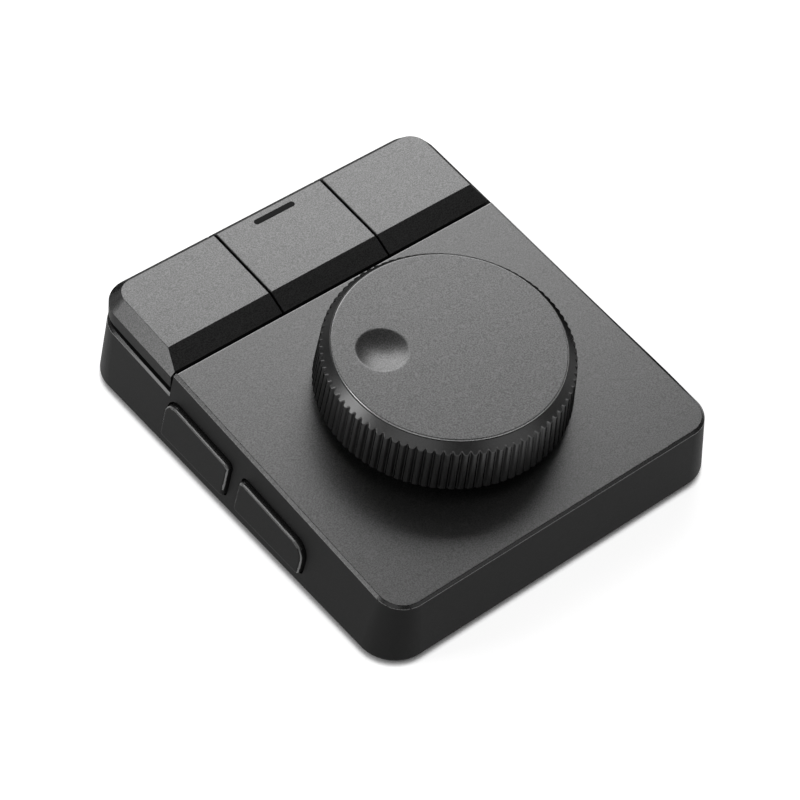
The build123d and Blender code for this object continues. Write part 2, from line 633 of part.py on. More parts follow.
def hub_screws():
    """Screws that hold the hub's flange under the dial."""
    screws = []
    for x, y in hub_screw_places():
        head = rod(HUB_SCREW_HEAD_RADIUS, FLANGE_UNDER - HUB_SCREW_HEAD_HEIGHT, FLANGE_UNDER, x, y)
        shank = rod(HUB_SCREW_RADIUS, FLANGE_UNDER, FLANGE_UNDER + HUB_SCREW_LENGTH, x, y)
        screws.append(DIAL_AXIS * (head + shank))
    return screws


def key(index):
    """One key: bevelled cap, skirt, stem and two hooked legs."""
    start, end = key_limits()[index]
    lower = key_row_outline(0)
    bevel = Vector(KEY_END_DROP, KEY_END_RUN).get_angle(Vector(1, 0))
    row = extrude(lower, KEY_END_DROP, taper=bevel) + extrude(lower, -KEY_SKIRT - KEY_END_FOOT)
    row = Pos(0, 0, KEY_END_FOOT) * row
    side_view = Polyline(
        (KEY_FRONT, -KEY_SKIRT),
        (KEY_BACK, -KEY_SKIRT),
        (KEY_BACK, KEY_RISE),
        (KEY_FRONT + KEY_FRONT_RUN, KEY_RISE),
        (KEY_FRONT, 0),
        close=True,
    )
    cap = row & extrude(Plane.YZ.offset(start) * make_face(side_view), end - start)
    cap = fillet(cap.faces().sort_by(Axis.Z)[-1].edges(), KEY_EDGE_RADIUS)
    room = Pos(0, 0, -KEY_SKIRT) * extrude(key_row_outline(KEY_WALL), KEY_SKIRT - KEY_CEILING)
    cap -= room & box(start + KEY_WALL, end - KEY_WALL, KEY_FRONT + KEY_WALL, KEY_BACK, -KEY_SKIRT, 0)
    x = key_stem_places()[index]
    cap += rod(KEY_STEM_RADIUS, PLUNGER_TOP, -KEY_CEILING, x, KEY_STEM_Y)
    for leg in key_leg_places(index):
        cap += key_leg(leg)
    if index == KEY_COUNT // 2:
        cap -= lens_bar(FIT, -LENS_DEPTH)
    return cap


def key_leg(x):
    """Guide leg with a hook that catches under the ceiling of the key bay."""
    side = KEY_LEG_WIDTH / 2
    front = KEY_STEM_Y - KEY_LEG_THICKNESS / 2
    back = KEY_STEM_Y + KEY_LEG_THICKNESS / 2
    low = BAY_UNDER - KEY_HOOK_HEIGHT
    leg = box(x - side, x + side, front, back, low, -KEY_CEILING)
    return leg + box(x - side, x + side, front, back + KEY_HOOK, low, BAY_UNDER)


def key_switch(index):
    """Low push switch under a key, with the bore of its plunger."""
    x = key_stem_places()[index]
    half = SWITCH_WIDTH / 2
    housing = box(x - half, x + half, KEY_STEM_Y - half, KEY_STEM_Y + half, BOARD_TOP, SWITCH_TOP)
    bore_low = SWITCH_TOP - SWITCH_PLUNGER_DEPTH - KEY_TRAVEL - FIT
    return housing - rod(SWITCH_PLUNGER_RADIUS + GUIDE_GAP, bore_low, SWITCH_TOP, x, KEY_STEM_Y)


def key_plunger(index):
    """Round plunger that the key's stem stands on."""
    x = key_stem_places()[index]
    return rod(SWITCH_PLUNGER_RADIUS, SWITCH_TOP - SWITCH_PLUNGER_DEPTH, PLUNGER_TOP, x, KEY_STEM_Y)


def lens_bar(grow, depth):
    """Indicator's slim rounded section, moved out by grow, from the key's top down by depth."""
    section = SlotOverall(LENS_LENGTH + 2 * grow, LENS_WIDTH + 2 * grow)
    return extrude(Pos(0, LENS_Y, KEY_RISE) * section, depth)


def indicator_lens():
    """Smoked light bar in the middle key."""
    return lens_bar(0, -LENS_DEPTH)


def indicator_led():
    """Light source on the board under the bar."""
    x = LED_LENGTH / 2
    y = LED_WIDTH / 2
    return box(-x, x, LENS_Y - y, LENS_Y + y, BOARD_TOP, BOARD_TOP + LED_HEIGHT)


def controller_chip():
    """Controller on the board."""
    half = CHIP_WIDTH / 2
    sides = (CHIP_X - half, CHIP_X + half, CHIP_Y - half, CHIP_Y + half)
    return box(*sides, BOARD_TOP, BOARD_TOP + CHIP_HEIGHT)


def side_button(span):
    """Raised button in the left wall, with a flange behind the wall and a stem to its switch."""
    button = side_column(span, 0, 0, 0) & case_block(-SIDE_RAISE)
    button = fillet(button.faces().sort_by(Axis.X)[0].edges(), SIDE_EDGE_RADIUS)
    button -= case_block(WALL + FIT + SIDE_FLANGE)
    flange = side_column(span, SIDE_FLANGE, SIDE_FLANGE_SETBACK, 0)
    button += flange & (case_block(WALL + FIT) - case_block(WALL + FIT + SIDE_FLANGE))
    y = side_middle(span)
    half_length = SIDE_STEM_LENGTH / 2
    half_height = SIDE_STEM_HEIGHT / 2
    stem_z = (SIDE_SWITCH_Z - half_height, SIDE_SWITCH_Z + half_height)
    return button + box(-CASE_WIDTH / 2, SIDE_TIP_X, y - half_length, y + half_length, *stem_z)


def side_switch(span):
    """Sideways push switch at the board's left edge."""
    y = side_middle(span)
    half = SIDE_SWITCH_LENGTH / 2
    back = SIDE_SWITCH_X + SIDE_SWITCH_DEPTH
    top = BOARD_TOP + SIDE_SWITCH_HEIGHT
    housing = box(SIDE_SWITCH_X, back, y - half, y + half, BOARD_TOP, top)
    return housing - side_plunger_bar(y, GUIDE_GAP, SIDE_PLUNGER_DEPTH + SIDE_TRAVEL)


def side_plunger_bar(y, grow, depth):
    """Plunger's section, moved out by grow, from the button's stem into the switch by depth."""
    half_length = SIDE_PLUNGER_LENGTH / 2 + grow
    half_height = SIDE_PLUNGER_HEIGHT / 2 + grow
    span_z = (SIDE_SWITCH_Z - half_height, SIDE_SWITCH_Z + half_height)
    return box(SIDE_TIP_X, SIDE_SWITCH_X + depth + grow, y - half_length, y + half_length, *span_z)


def side_plunger(span):
    """Plunger between a side button's stem and its switch."""
    return side_plunger_bar(side_middle(span), 0, SIDE_PLUNGER_DEPTH)


def usb_socket():
    """Inlet under the board's back edge: rounded steel shell, closed behind, with a contact tongue."""
    socket = socket_cut(0, SOCKET_MOUTH_Y, SOCKET_LENGTH)
    socket -= socket_cut(-SOCKET_WALL, SOCKET_MOUTH_Y, SOCKET_LENGTH - SOCKET_BACK_WALL)
    back = SOCKET_MOUTH_Y - SOCKET_LENGTH + SOCKET_BACK_WALL
    half_width = TONGUE_WIDTH / 2
    half_height = TONGUE_THICKNESS / 2
    tongue_z = (SOCKET_Z - half_height, SOCKET_Z + half_height)
    return socket + box(-half_width, half_width, back, back + TONGUE_LENGTH, *tongue_z)


def write(name, shape):
    """Save one sub-part in the floor frame."""
    solids = shape if isinstance(shape, list) else [shape]
    whole = Compound(children=[solid for item in solids for solid in item.solids()])
    export_step(DECK * whole, f"parts/{name}.step")


os.makedirs("parts", exist_ok=True)
write("body_shell", body_shell())
write("face_plate", face_plate())
write("base_plate", base_plate())
write("rubber_feet", feet())
write("base_screws", base_screws())
write("main_board", main_board())
write("board_screws", board_screws())
write("controller_chip", controller_chip())
write("encoder_housing", encoder_housing())
write("encoder_washer", encoder_washer())
write("encoder_nut", encoder_nut())
write("encoder_shaft", encoder_shaft())
write("push_plunger", push_plunger())
write("dial_guard", dial_guard())
write("dial_ring", dial_ring())
write("dial_cap", dial_cap())
write("dial_hub", dial_hub())
write("dial_set_screw", dial_set_screw())
write("hub_screws", hub_screws())
write("indicator_lens", indicator_lens())
write("indicator_led", indicator_led())
write("usb_socket", usb_socket())
for index, side in enumerate(("left", "middle", "right")):
    write(f"key_{side}", key(index))
    write(f"key_switch_{side}", key_switch(index))
    write(f"key_plunger_{side}", key_plunger(index))
for span, end in zip(side_spans(), ("front", "rear")):
    write(f"side_button_{end}", side_button(span))
    write(f"side_switch_{end}", side_switch(span))
    write(f"side_plunger_{end}", side_plunger(span))
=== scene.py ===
import json
from math import cos, pi, radians, sin

import bpy
import numpy as np
from bpy.props import FloatProperty, FloatVectorProperty, IntProperty, PointerProperty
from mathutils import Matrix, Vector


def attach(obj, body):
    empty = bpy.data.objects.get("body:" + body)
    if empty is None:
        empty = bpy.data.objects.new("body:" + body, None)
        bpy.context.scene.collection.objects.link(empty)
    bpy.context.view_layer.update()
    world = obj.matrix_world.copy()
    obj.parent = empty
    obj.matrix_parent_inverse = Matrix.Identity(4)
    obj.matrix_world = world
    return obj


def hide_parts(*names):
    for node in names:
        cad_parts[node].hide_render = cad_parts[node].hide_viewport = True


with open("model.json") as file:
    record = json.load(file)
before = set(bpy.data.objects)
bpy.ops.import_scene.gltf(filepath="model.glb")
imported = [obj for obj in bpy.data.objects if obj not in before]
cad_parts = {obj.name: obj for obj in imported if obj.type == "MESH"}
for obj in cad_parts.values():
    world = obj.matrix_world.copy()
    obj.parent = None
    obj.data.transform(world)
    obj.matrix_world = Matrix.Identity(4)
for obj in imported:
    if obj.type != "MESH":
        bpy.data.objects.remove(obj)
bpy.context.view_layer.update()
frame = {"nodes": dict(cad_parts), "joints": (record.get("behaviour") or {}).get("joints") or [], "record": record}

bl_info = {
    "name": "Desk keypad with dial",
    "version": (1, 0, 0),
    "blender": (4, 5, 0),
    "location": "View3D > Sidebar > Keypad",
    "description": "Dresses the keypad's solids, makes its dial, feet and screws, and sets the stage",
    "category": "Object",
}

MM = 0.001
WAVE_PERIOD = pi / 10  # Distance at which a wave texture of scale 1 repeats
BODIES = {node: body for body, nodes in frame["record"]["behaviour"]["bodies"].items() for node in nodes}
DIAL_JOINT = next(joint for joint in frame["joints"] if joint["name"] == "dial_turn")


def linear(code):
    """Linear colour of an sRGB hex code: the sRGB curve, straight below 0.04045 and a power of 2.4 above."""
    parts = np.array([int(code[i:i + 2], 16) / 255 for i in (0, 2, 4)])
    return tuple(np.where(parts <= 0.04045, parts / 12.92, ((parts + 0.055) / 1.055) ** 2.4))


def dial_frame():
    """Dial's own frame: origin on the face plate under the dial's middle, z along its axis, x to the right."""
    z = Vector(DIAL_JOINT["axis"]).normalized()
    x = Vector((1, 0, 0))
    turn = Matrix((x, z.cross(x), z)).transposed()
    return Matrix.Translation(DIAL_JOINT["pos_m"]) @ turn.to_4x4()


def corners_of(node):
    """Corners of a CAD node as an array."""
    mesh = frame["nodes"][node].data
    corners = np.empty(len(mesh.vertices) * 3, np.float32)
    mesh.vertices.foreach_get("co", corners)
    return corners.reshape(-1, 3).astype(float)


def in_dial_frame(node):
    """Corners of a CAD node as an array in the dial's own frame."""
    back = np.array(dial_frame().inverted())
    return corners_of(node) @ back[:3, :3].T + back[:3, 3]


def solids_of(node):
    """Middle, radius, lowest and highest level of each upright round solid in a CAD node, told apart by their corner of
    the keypad."""
    corners = corners_of(node)
    middle_y = (corners[:, 1].min() + corners[:, 1].max()) / 2
    found = []
    for right in (False, True):
        for back in (False, True):
            own = corners[((corners[:, 0] > 0) == right) & ((corners[:, 1] > middle_y) == back)]
            low, high = own.min(0), own.max(0)
            found.append(((low + high)[:2] / 2, (high - low)[0] / 2, low[2], high[2]))
    return found


RING = in_dial_frame("dial_ring")
CAP = in_dial_frame("dial_cap")
RING_RADIUS = float(np.hypot(RING[:, 0], RING[:, 1]).max())
CAP_RADIUS = float(np.hypot(CAP[:, 0], CAP[:, 1]).max())
DIAL_BOTTOM = float(RING[:, 2].min())
DIAL_TOP = float(CAP[:, 2].max())
CUP_BOTTOM = float(CAP[:, 2].min())


def length(name, description, default):
    """Length property in metres."""
    return FloatProperty(name=name, description=description, default=default, subtype="DISTANCE", unit="LENGTH")


def angle(name, description, degrees):
    """Angle property, given in degrees."""
    return FloatProperty(name=name, description=description, default=radians(degrees), subtype="ANGLE", unit="ROTATION")


def colour(name, description, code):
    """Colour property, given as an sRGB hex code."""
    return FloatVectorProperty(name=name, description=description, default=linear(code), subtype="COLOR", min=0, max=1)


def watts(name, description, default):
    """Power property of a lamp, in watts."""
    return FloatProperty(name=name, description=description, default=default, unit="POWER")


class KeypadSizes(bpy.types.PropertyGroup):
    """Sizes of the pieces that are made here."""

    rib_count: IntProperty(name="Ribs", description="Grip ribs round the dial", default=90, min=12, max=200)
    groove_depth: length("Groove depth", "Depth of the grooves between the ribs", 0.48 * MM)
    groove_share: FloatProperty(
        name="Groove share", description="How much of each rib's spacing its groove takes",
        default=0.32, min=0.1, max=0.9,
    )
    shoulder_radius: length("Shoulder radius", "Dial's radius where the ribs meet the bevel", 21.36 * MM)
    bevel_height: length("Bevel height", "Height of the dial's smooth bevel", 1.8 * MM)
    wall: length("Dial wall", "Thickness of the dial's wall", 3.0 * MM)
    web: length("Dial web", "Thickness of the dial's web under its disc", 0.8 * MM)
    seam: length("Disc seam", "Gap round the dial's disc", 0.04 * MM)
    disc_edge: length("Disc edge", "Rounding of the disc's edge", 0.26 * MM)
    dimple_x: length("Dimple across", "Dimple's place across the dial", -9.94 * MM)
    dimple_y: length("Dimple back", "Dimple's place towards the back of the dial", 5.43 * MM)
    dimple_radius: length("Dimple radius", "Radius of the finger dimple", 4.41 * MM)
    dimple_depth: length("Dimple depth", "Depth of the finger dimple", 1.05 * MM)
    dimple_edge: length("Dimple edge", "Rounding of the dimple's rim", 0.05 * MM)
    skirt_level: length("Skirt level", "Height over the face plate under which the keys are plastic", -0.8 * MM)
    # Over this height the rims' outer rounding also takes the lighter colour of the painted highlight line.
    rim_level: length("Rim level", "Height over the face plate down to which the case's edges are smooth", -6.0 * MM)
    # Under this height the case's downward-facing lower rounding is painted darker: painted shade.
    base_level: length("Base level", "Height under which the case's rounded lower edge is matt", -11.0 * MM)
    foot_edge: length("Foot edge", "Rounding of the rubber feet", 0.35 * MM)
    foot_dish: length("Foot dish", "Depth of the shallow dish in each foot", 0.15 * MM)
    cross_width: length("Screw cross width", "Width of the cross recess in a screw", 0.72 * MM)
    cross_span: length("Screw cross span", "Span of the cross recess in a screw", 2.5 * MM)
    cross_depth: length("Screw cross depth", "Depth of the cross recess in a screw", 0.7 * MM)


class KeypadColours(bpy.types.PropertyGroup):
    """Colours of the finishes."""

    case: colour("Case", "Moulded case, base and side buttons", "222222")
    # Painted highlight: the lighter colour of the rounded edges stands for the light they catch.
    line: colour("Edge lines", "Rounded edges of the case's rims and the side buttons", "747474")
    # The same colour is painted on the case's lower rounding as painted shade.
    guard: colour("Guard", "Cup inside the dial", "161616")
    plate: colour("Face plate", "Anodised face plate", "7F7F7F")
    key: colour("Keys", "Anodised keys", "8A8A8A")
    # Painted shade: the bevels are a darker copy of the keys' colour, standing for less light on them.
    bevel: colour("Key bevels", "Milled bevels round the keys", "626262")
    disc: colour("Dial disc", "Anodised disc on the dial", "808080")
    ring: colour("Dial ring", "Anodised knurled ring", "616161")
    cut: colour("Cut edges", "Cut edges of the plate and the disc", "B4B4B4")
    lens: colour("Indicator", "Smoked indicator bar", "1B1B1C")
    rubber: colour("Feet", "Rubber feet", "1E1E1E")
    steel: colour("Steel", "Zinc-plated screws, nut, washer and shaft", "B9BBBD")
    nickel: colour("Inlet", "Nickel-plated inlet", "C3BDB2")
    brass: colour("Hub", "Turned brass hub", "C9A45C")
    zinc: colour("Encoder", "Die-cast encoder housing", "8E9093")
    mask: colour("Board", "Board's solder mask", "12352B")
    nylon: colour("Switches", "Switch housings and chip", "232325")
    acetal: colour("Plungers", "Switch plungers", "D9D6CC")
    floor: colour("Floor", "Floor and backdrop", "F2F2F2")


class KeypadStage(bpy.types.PropertyGroup):
    """Camera and lamps. The camera's angles and places are in the dial's own frame."""

    azimuth: angle("Azimuth", "Camera's turn round the keypad", -46.059)
    elevation: angle("Elevation", "Camera's height over the face plate", 51.506)
    roll: angle("Roll", "Camera's turn about its own axis", 9.076)
    distance: length("Distance", "From the aimed point to the camera", 458.16 * MM)
    aim: FloatVectorProperty(
        name="Aim", description="Point that the camera looks at", default=(-4.301 * MM, 5.133 * MM, -4.652 * MM),
        subtype="TRANSLATION", unit="LENGTH",
    )
    lens: FloatProperty(name="Lens", description="Focal length", default=122.31, unit="CAMERA")
    back_lamp: watts("Back softbox", "Power of the softbox behind right", 2.0)
    left_lamp: watts("Left softbox", "Power of the softbox at the left", 0.7)
    near_lamp: watts("Near softbox", "Power of the weak softbox at the near left", 0.24)
    front_lamp: watts("Front softbox", "Power of the weak softbox in front", 0.16)
    fill: FloatProperty(name="Fill", description="Strength of the room's light", default=0.085, min=0, max=1)
    glow: FloatProperty(name="Floor glow", description="Share of the floor's white that needs no lamp", default=0.84)
    contact: length("Contact shadow", "How near a piece has to be to darken the floor under it", 1.4 * MM)


def rounded(corners, radii, steps=4, guard=0.03 * MM):
    """Line through corners in (r, z): a corner with a radius becomes an arc between its two tangent points, which lie
    radius / tan(half the inner angle) from it. A point at guard beyond each tangent keeps the flats flat."""
    corners = np.array(corners, float)
    line = [corners[0]]
    for before, corner, after, radius in zip(corners, corners[1:], corners[2:], radii):
        if radius <= 0:
            line.append(corner)
            continue
        a = (before - corner) / np.linalg.norm(before - corner)
        b = (after - corner) / np.linalg.norm(after - corner)
        half = np.arccos(np.clip(a @ b, -1, 1)) / 2
        middle = corner + (a + b) / np.linalg.norm(a + b) * radius / sin(half)
        start = corner + a * radius / np.tan(half)
        end = corner + b * radius / np.tan(half)
        sweep = np.linspace(0, 1, steps + 1)[:, None]
        turn = pi - 2 * half
        from_start, to_end = np.sin((1 - sweep) * turn), np.sin(sweep * turn)
        arc = middle + ((start - middle) * from_start + (end - middle) * to_end) / sin(turn)
        line += [start + a * guard, *arc, end + b * guard]
    line.append(corners[-1])
    return np.array(line)


def pairs_of(line):
    """Neighbouring points of a line, two by two."""
    return np.stack([line[:-1], line[1:]], axis=1)


def finer(pair, spacing):
    """Points from the first of a pair up to the second, which is left out, no further apart than spacing."""
    count = max(1, int(np.ceil(np.linalg.norm(pair[1] - pair[0]) / spacing)))
    return pair[0] + np.linspace(0, 1, count, endpoint=False)[:, None] * (pair[1] - pair[0])


def turned(line, count):
    """Surface of revolution: each point (r, z) of the line runs round the axis as (r cos t, r sin t, z)."""
    t = np.linspace(0, 2 * pi, count, endpoint=False)
    r, z = line[:, 0, None], line[:, 1, None]
    return np.stack([r * np.cos(t), r * np.sin(t), z + 0 * t], axis=-1)


def lower_of(a, b, blend):
    """Smaller of two values, with the corner where they meet rounded over about blend."""
    return -blend * np.logaddexp(-a / blend, -b / blend)


def skin(name, grids, place):
    """Mesh of closed surfaces. Each grid is rows of points that wrap round, from a pole to a pole, and place is the
    matrix that sets it. Every four neighbours make a face, a pole's row becomes one point, and faces point outwards
    because the sum of corner triple products, six times the volume, is made positive."""
    points, faces, start = [], [], 0
    for grid in grids:
        rows, columns = grid.shape[:2]
        index = start + 1 + np.arange((rows - 2) * columns).reshape(-1, columns)
        last = start + 1 + index.size
        index = np.vstack([np.full((1, columns), start), index, np.full((1, columns), last)])
        over = np.roll(index, -1, axis=1)
        quads = np.stack([index[1:-2], over[1:-2], over[2:-1], index[2:-1]], axis=-1).reshape(-1, 4)
        low = np.stack([index[0], over[1], index[1]], axis=-1)
        high = np.stack([index[-1], index[-2], over[-2]], axis=-1)
        corners = np.vstack([grid[:1, 0], grid[1:-1].reshape(-1, 3), grid[-1:, 0]])
        tris = np.vstack([quads[:, [0, 1, 2]], quads[:, [0, 2, 3]], low, high]) - start
        volume = np.einsum("ij,ij->", corners[tris[:, 0]], np.cross(corners[tris[:, 1]], corners[tris[:, 2]]))
        order = slice(None) if volume > 0 else slice(None, None, -1)
        faces += [face for part in (quads, low, high) for face in part[:, order].tolist()]
        points.append(corners)
        start = last + 1
    turn = np.array(place)
    points = np.vstack(points) @ turn[:3, :3].T + turn[:3, 3]
    mesh = bpy.data.meshes.new(name)
    mesh.from_pydata(points.tolist(), [], faces)
    mesh.polygons.foreach_set("use_smooth", np.ones(len(faces), bool))
    mesh.update()
    piece = bpy.data.objects.new(name, mesh)
    bpy.context.scene.collection.objects.link(piece)
    return piece


def stands_for(piece, node, finish):
    """Gives a made piece its finish and its body, and lets it stand for a CAD node."""
    piece.data.materials.append(finish)
    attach(piece, BODIES[node])
    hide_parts(node)


def dress(finish, *nodes):
    """Gives CAD nodes a finish."""
    for node in nodes:
        mesh = frame["nodes"][node].data
        mesh.materials.clear()
        mesh.materials.append(finish)


def dress_faces(finish, mesh, low, high, level, upper, axis=2):
    """Gives a further finish to the faces of a mesh whose normal's share along an axis of the dial's frame lies between
    low and high and whose middle lies over the level, or under it where upper is false."""
    back = np.array(dial_frame().inverted())
    normal, middle = np.empty(len(mesh.polygons) * 3, np.float32), np.empty(len(mesh.polygons) * 3, np.float32)
    mesh.polygons.foreach_get("normal", normal)
    mesh.polygons.foreach_get("center", middle)
    lean = normal.reshape(-1, 3) @ back[axis, :3]
    over = middle.reshape(-1, 3) @ back[2, :3] + back[2, 3] > level
    chosen = (lean > low) & (lean < high) & (over == upper)
    index = np.empty(len(mesh.polygons), np.int32)
    mesh.polygons.foreach_get("material_index", index)
    index[chosen] = len(mesh.materials)
    mesh.materials.append(finish)
    mesh.polygons.foreach_set("material_index", index)
    mesh.update()


def add(tree, kind, sockets, **settings):
    """Adds a node: settings are its own options, sockets its inputs, each a value or another node's output."""
    node = tree.nodes.new(kind)
    for name, value in settings.items():
        setattr(node, name, value)
    for name, value in sockets.items():
        if isinstance(value, bpy.types.NodeSocket):
            tree.links.new(value, node.inputs[name])
        else:
            node.inputs[name].default_value = value
    return node


def shade(tint, share):
    """Colour made darker, or lighter where share is over 1, with its alpha."""
    return (*[min(1.0, part * share) for part in tint], 1.0)


def new_tree(name):
    """Empty node tree of a new material, and the material."""
    material = bpy.data.materials.new(name)
    material.use_nodes = True
    material.node_tree.nodes.clear()
    return material.node_tree, material


def grained(name, tint, grain, depth, gloss, contrast=0.1, **surface):
    """Finish with an even grain. Noise of the grain's size tints the colour by contrast, moves the roughness between
    the two values of gloss and lifts the surface by depth. surface holds the shader's constant values."""
    tree, material = new_tree(name)
    place = add(tree, "ShaderNodeTexCoord", {})
    noise = add(tree, "ShaderNodeTexNoise", {
        "Vector": place.outputs["Object"], "Scale": 1 / grain, "Detail": 1.5, "Roughness": 0.6,
    })
    spread = add(tree, "ShaderNodeMapRange", {"Value": noise.outputs["Fac"], "From Min": 0.35, "From Max": 0.65})
    tone = add(tree, "ShaderNodeMix", {
        0: spread.outputs["Result"], 6: shade(tint, 1 - contrast), 7: shade(tint, 1 + contrast),
    }, data_type="RGBA")
    rough = add(tree, "ShaderNodeMapRange", {
        "Value": spread.outputs["Result"], "To Min": gloss[0], "To Max": gloss[1],
    })
    bump = add(tree, "ShaderNodeBump", {"Height": noise.outputs["Fac"], "Distance": depth, "Strength": 1.0})
    shader = add(tree, "ShaderNodeBsdfPrincipled", {
        "Base Color": tone.outputs[2], "Roughness": rough.outputs["Result"], "Normal": bump.outputs["Normal"],
        **surface,
    })
    add(tree, "ShaderNodeOutputMaterial", {"Surface": shader.outputs["BSDF"]})
    return material


def lathe_turned(name, tint, spacing, gloss, **surface):
    """Finish cut on a lathe round the dial's axis. Rings at spacing, from a wave in the distance to the axis, shake the
    roughness and the surface, so light fans out across them."""
    tree, material = new_tree(name)
    place = add(tree, "ShaderNodeTexCoord", {})
    middle = dial_frame()
    centred = add(tree, "ShaderNodeMapping", {
        "Vector": place.outputs["Object"], "Location": middle.translation, "Rotation": middle.to_euler(),
    }, vector_type="TEXTURE")
    rings = add(tree, "ShaderNodeTexWave", {
        "Vector": centred.outputs["Vector"], "Scale": WAVE_PERIOD / spacing, "Distortion": 0.4, "Detail": 1.0,
    }, wave_type="RINGS", rings_direction="Z")
    tone = add(tree, "ShaderNodeMix", {
        0: rings.outputs["Fac"], 6: shade(tint, 0.88), 7: shade(tint, 1.05),
    }, data_type="RGBA")
    rough = add(tree, "ShaderNodeMapRange", {
        "Value": rings.outputs["Fac"], "To Min": gloss[0], "To Max": gloss[1],
    })
    bump = add(tree, "ShaderNodeBump", {"Height": rings.outputs["Fac"], "Distance": 0.004 * MM, "Strength": 1.0})
    shader = add(tree, "ShaderNodeBsdfPrincipled", {
        "Base Color": tone.outputs[2], "Roughness": rough.outputs["Result"], "Normal": bump.outputs["Normal"],
        "Metallic": 1.0, **surface,
    })
    add(tree, "ShaderNodeOutputMaterial", {"Surface": shader.outputs["BSDF"]})
    return material


def circuit_board(name, tint, spacing):
    """Solder mask over glass weave: two crossed waves at the threads' spacing lift the mask, which has a clear
    gloss."""
    tree, material = new_tree(name)
    place = add(tree, "ShaderNodeTexCoord", {})
    waves = [add(tree, "ShaderNodeTexWave", {
        "Vector": place.outputs["Object"], "Scale": WAVE_PERIOD / spacing, "Distortion": 0.6,
    }, bands_direction=direction).outputs["Fac"] for direction in ("X", "Y")]
    weave = add(tree, "ShaderNodeMath", {0: waves[0], 1: waves[1]}, operation="MAXIMUM")
    tone = add(tree, "ShaderNodeMix", {
        0: weave.outputs[0], 6: shade(tint, 0.8), 7: shade(tint, 1.2),
    }, data_type="RGBA")
    bump = add(tree, "ShaderNodeBump", {"Height": weave.outputs[0], "Distance": 0.01 * MM, "Strength": 1.0})
    shader = add(tree, "ShaderNodeBsdfPrincipled", {
        "Base Color": tone.outputs[2], "Normal": bump.outputs["Normal"], "Roughness": 0.35, "IOR": 1.55,
    })
    add(tree, "ShaderNodeOutputMaterial", {"Surface": shader.outputs["BSDF"]})
    return material


def finish_of(kind):
    """Finish of one kind, made once and then shared."""
    made = bpy.data.materials.get(FINISHES[kind][0])
    return made or FINISHES[kind][1](FINISHES[kind][0], bpy.context.scene.keypad_colours)


